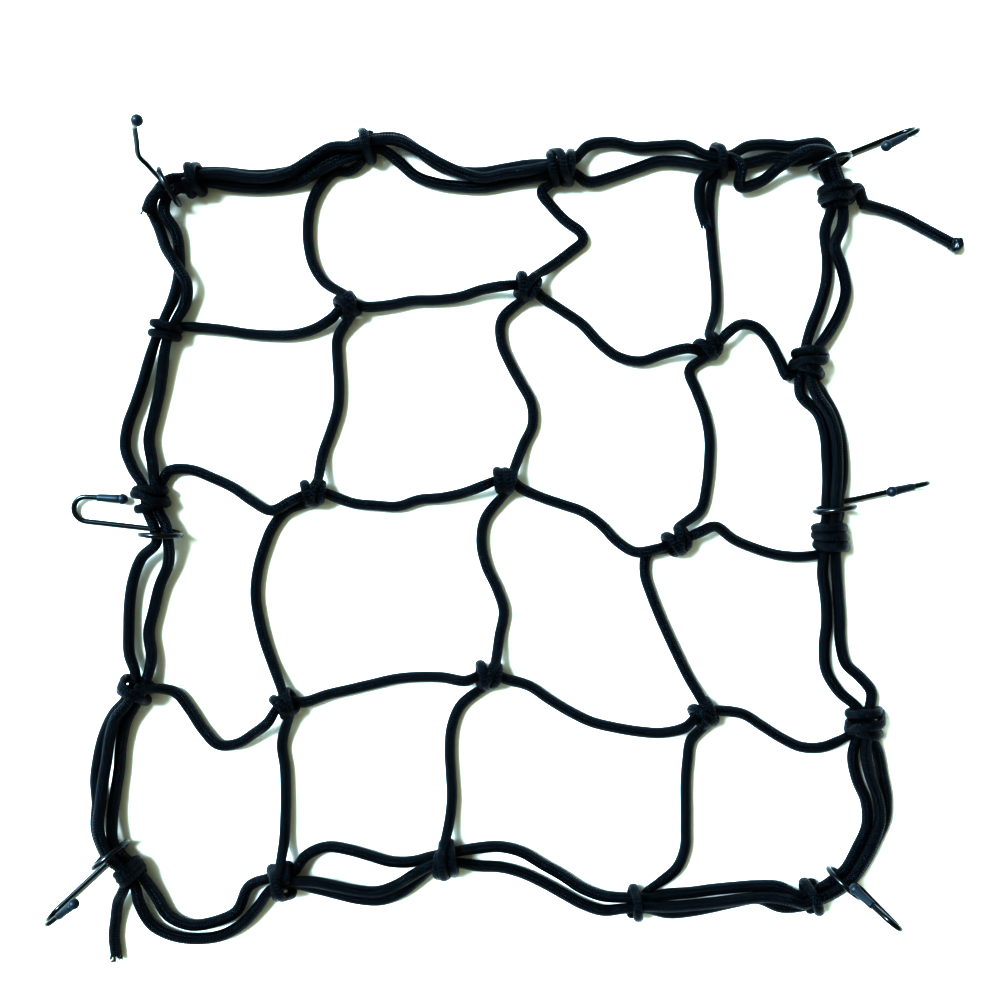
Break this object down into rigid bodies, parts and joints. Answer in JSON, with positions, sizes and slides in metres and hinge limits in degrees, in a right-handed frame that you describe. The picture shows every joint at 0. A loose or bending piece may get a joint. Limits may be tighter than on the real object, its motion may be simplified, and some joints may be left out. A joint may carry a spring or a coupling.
{
  "type": "cargo net",
  "caption": "Hand-knotted black elastic cargo net, four by four meshes, with six wire hooks, laid out flat.",
  "frame": {"origin": "on the surface under the centre knot", "axes": "+X to the right and +Y to the top of the laid-out net, +Z away from the surface"},
  "size_m": [0.3777, 0.3433, 0.0586],
  "materials": {
    "elastic_cord": "braided",
    "hook_wire": "gloss",
    "tip_cap": "satin"
  },
  "bodies": {
    "net": {"column_cord_1": "elastic_cord", "column_cord_2": "elastic_cord", "column_cord_3": "elastic_cord", "row_cord_1a": "elastic_cord", "row_cord_1b": "elastic_cord", "row_cord_1c": "elastic_cord", "row_cord_1d": "elastic_cord", "row_cord_2a": "elastic_cord", "row_cord_2b": "elastic_cord", "row_cord_2c": "elastic_cord", "row_cord_2d": "elastic_cord", "row_cord_3a": "elastic_cord", "row_cord_3b": "elastic_cord", "row_cord_3c": "elastic_cord", "row_cord_3d": "elastic_cord", "top_border_a": "elastic_cord", "top_border_b": "elastic_cord", "top_border_c": "elastic_cord", "top_border_loop": "elastic_cord", "right_border_a": "elastic_cord", "right_border_b": "elastic_cord", "right_border_c": "elastic_cord", "right_border_d": "elastic_cord", "bottom_border_a": "elastic_cord", "bottom_border_b": "elastic_cord", "bottom_border_c": "elastic_cord", "bottom_border_d": "elastic_cord", "left_border_a": "elastic_cord", "left_border_b": "elastic_cord", "left_border_c": "elastic_cord", "corner_knot_top_left": "elastic_cord", "corner_knot_top_right": "elastic_cord", "corner_knot_bottom_left": "elastic_cord", "corner_knot_bottom_right": "elastic_cord", "tail_top_right": "elastic_cord", "tail_bottom_left": "elastic_cord", "stub_top_left": "elastic_cord", "stub_third_column": "elastic_cord"},
    "hook_left": {"hook_wire_left": "hook_wire", "hook_cap_left": "tip_cap"},
    "hook_right": {"hook_wire_right": "hook_wire", "hook_cap_right": "tip_cap"},
    "hook_top_left": {"hook_wire_top_left": "hook_wire", "hook_cap_top_left": "tip_cap"},
    "hook_top_right": {"hook_wire_top_right": "hook_wire", "hook_cap_top_right": "tip_cap"},
    "hook_bottom_left": {"hook_wire_bottom_left": "hook_wire", "hook_cap_bottom_left": "tip_cap"},
    "hook_bottom_right": {"hook_wire_bottom_right": "hook_wire", "hook_cap_bottom_right": "tip_cap"}
  },
  "joints": [
    {"name": "hook_left_swing", "type": "hinge", "parent": "net", "child": "hook_left", "pos_m": [-0.141, -0.022, 0.00886], "axis": [0.1132, 0.9936, 0], "range_deg": [0, 120]},
    {"name": "hook_right_swing", "type": "hinge", "parent": "net", "child": "hook_right", "pos_m": [0.1348, -0.0115, 0.00886], "axis": [0.225, -0.9744, 0], "range_deg": [-4, 116]},
    {"name": "hook_top_left_swing", "type": "hinge", "parent": "net", "child": "hook_top_left", "pos_m": [-0.138, 0.12, 0.00886], "axis": [0.848, 0.5299, 0], "range_deg": [-80, 40]},
    {"name": "hook_top_right_swing", "type": "hinge", "parent": "net", "child": "hook_top_right", "pos_m": [0.133, 0.1305, 0.00886], "axis": [0.3746, -0.9272, 0], "range_deg": [0, 120]},
    {"name": "hook_bottom_left_swing", "type": "hinge", "parent": "net", "child": "hook_bottom_left", "pos_m": [-0.1615, -0.153, 0.00886], "axis": [-0.682, 0.7314, 0], "range_deg": [0, 120]},
    {"name": "hook_bottom_right_swing", "type": "hinge", "parent": "net", "child": "hook_bottom_right", "pos_m": [0.139, -0.164, 0.00886], "axis": [-0.6018, -0.7986, 0], "range_deg": [-84, 36]}
  ]
}
